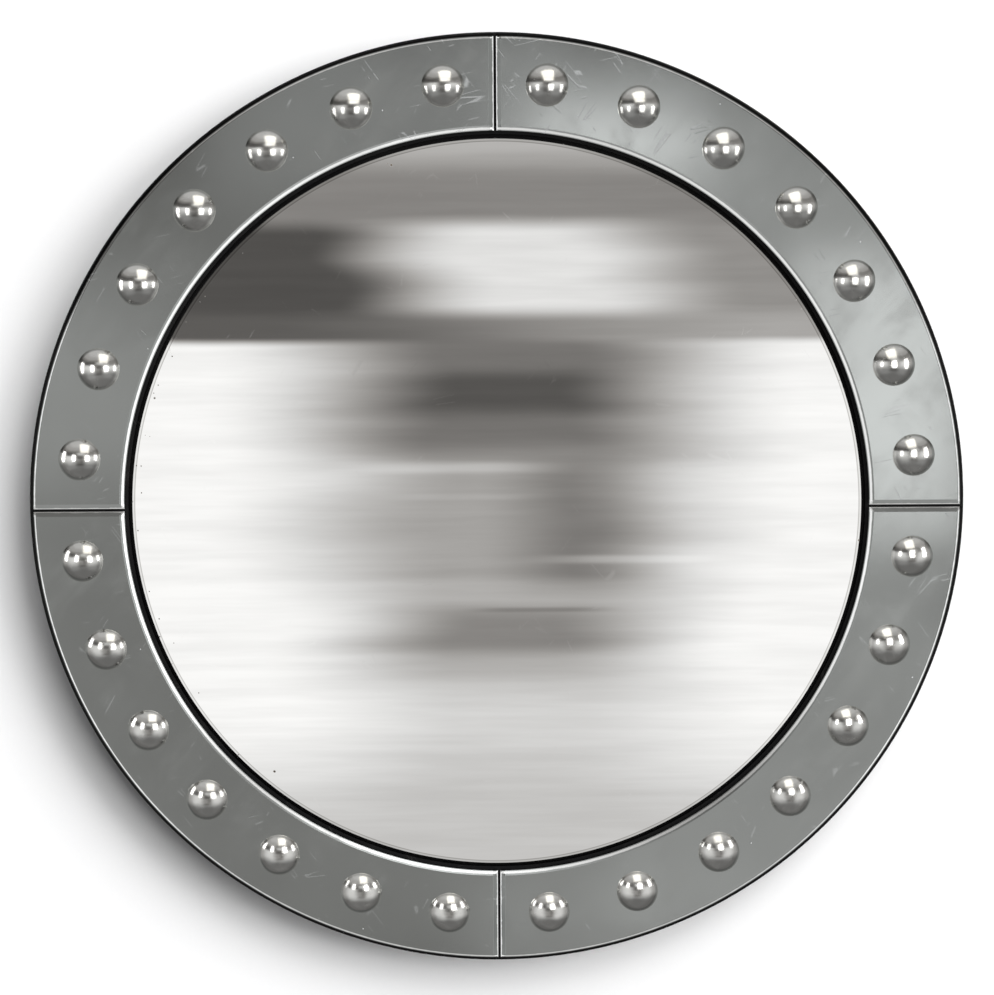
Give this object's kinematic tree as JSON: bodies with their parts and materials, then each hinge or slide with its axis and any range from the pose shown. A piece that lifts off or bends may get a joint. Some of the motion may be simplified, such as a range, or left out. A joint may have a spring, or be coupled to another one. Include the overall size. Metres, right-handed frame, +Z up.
{
  "type": "convex wall mirror",
  "caption": "Round convex butlers mirror: a bulged mirror dish in a frame of bevelled mirror plates set with chrome domes, hung on the wall by two hinged rings.",
  "frame": {"origin": "centre of the board's flat back face", "axes": "+Z up, the mirror looks along -Y, +Y points into the wall, +X to the right as seen from the front"},
  "size_m": [0.7499, 0.0739, 0.75],
  "materials": {
    "black_board": "satin black paint on plywood",
    "plate_glass": "antiqued mirror glass with a polished bevel",
    "convex_glass": "silvered convex glass, lightly foxed at the rim",
    "dome_chrome": "polished",
    "foam_tape": "matt foam",
    "hanger_steel": "zinc plated",
    "bumper_rubber": "matt"
  },
  "bodies": {
    "mirror": {"backing_board": "black_board", "frame_plate_top_right": "plate_glass", "frame_plate_bottom_right": "plate_glass", "frame_plate_bottom_left": "plate_glass", "frame_plate_top_left": "plate_glass", "convex_mirror": "convex_glass", "dome_studs": "dome_chrome", "rim_tape_pads": "foam_tape", "wall_bumpers": "bumper_rubber", "hanger_strap_left": "hanger_steel", "hanger_strap_right": "hanger_steel"},
    "left_ring": {"hanger_ring_left": "hanger_steel"},
    "right_ring": {"hanger_ring_right": "hanger_steel"}
  },
  "joints": [
    {"name": "left_ring_hinge", "type": "hinge", "parent": "mirror", "child": "left_ring", "pos_m": [-0.2, 0.00278, 0.215], "axis": [1, 0, 0], "range_deg": [0, 172]},
    {"name": "right_ring_hinge", "type": "hinge", "parent": "mirror", "child": "right_ring", "pos_m": [0.2, 0.00278, 0.215], "axis": [1, 0, 0], "range_deg": [0, 172]}
  ]
}
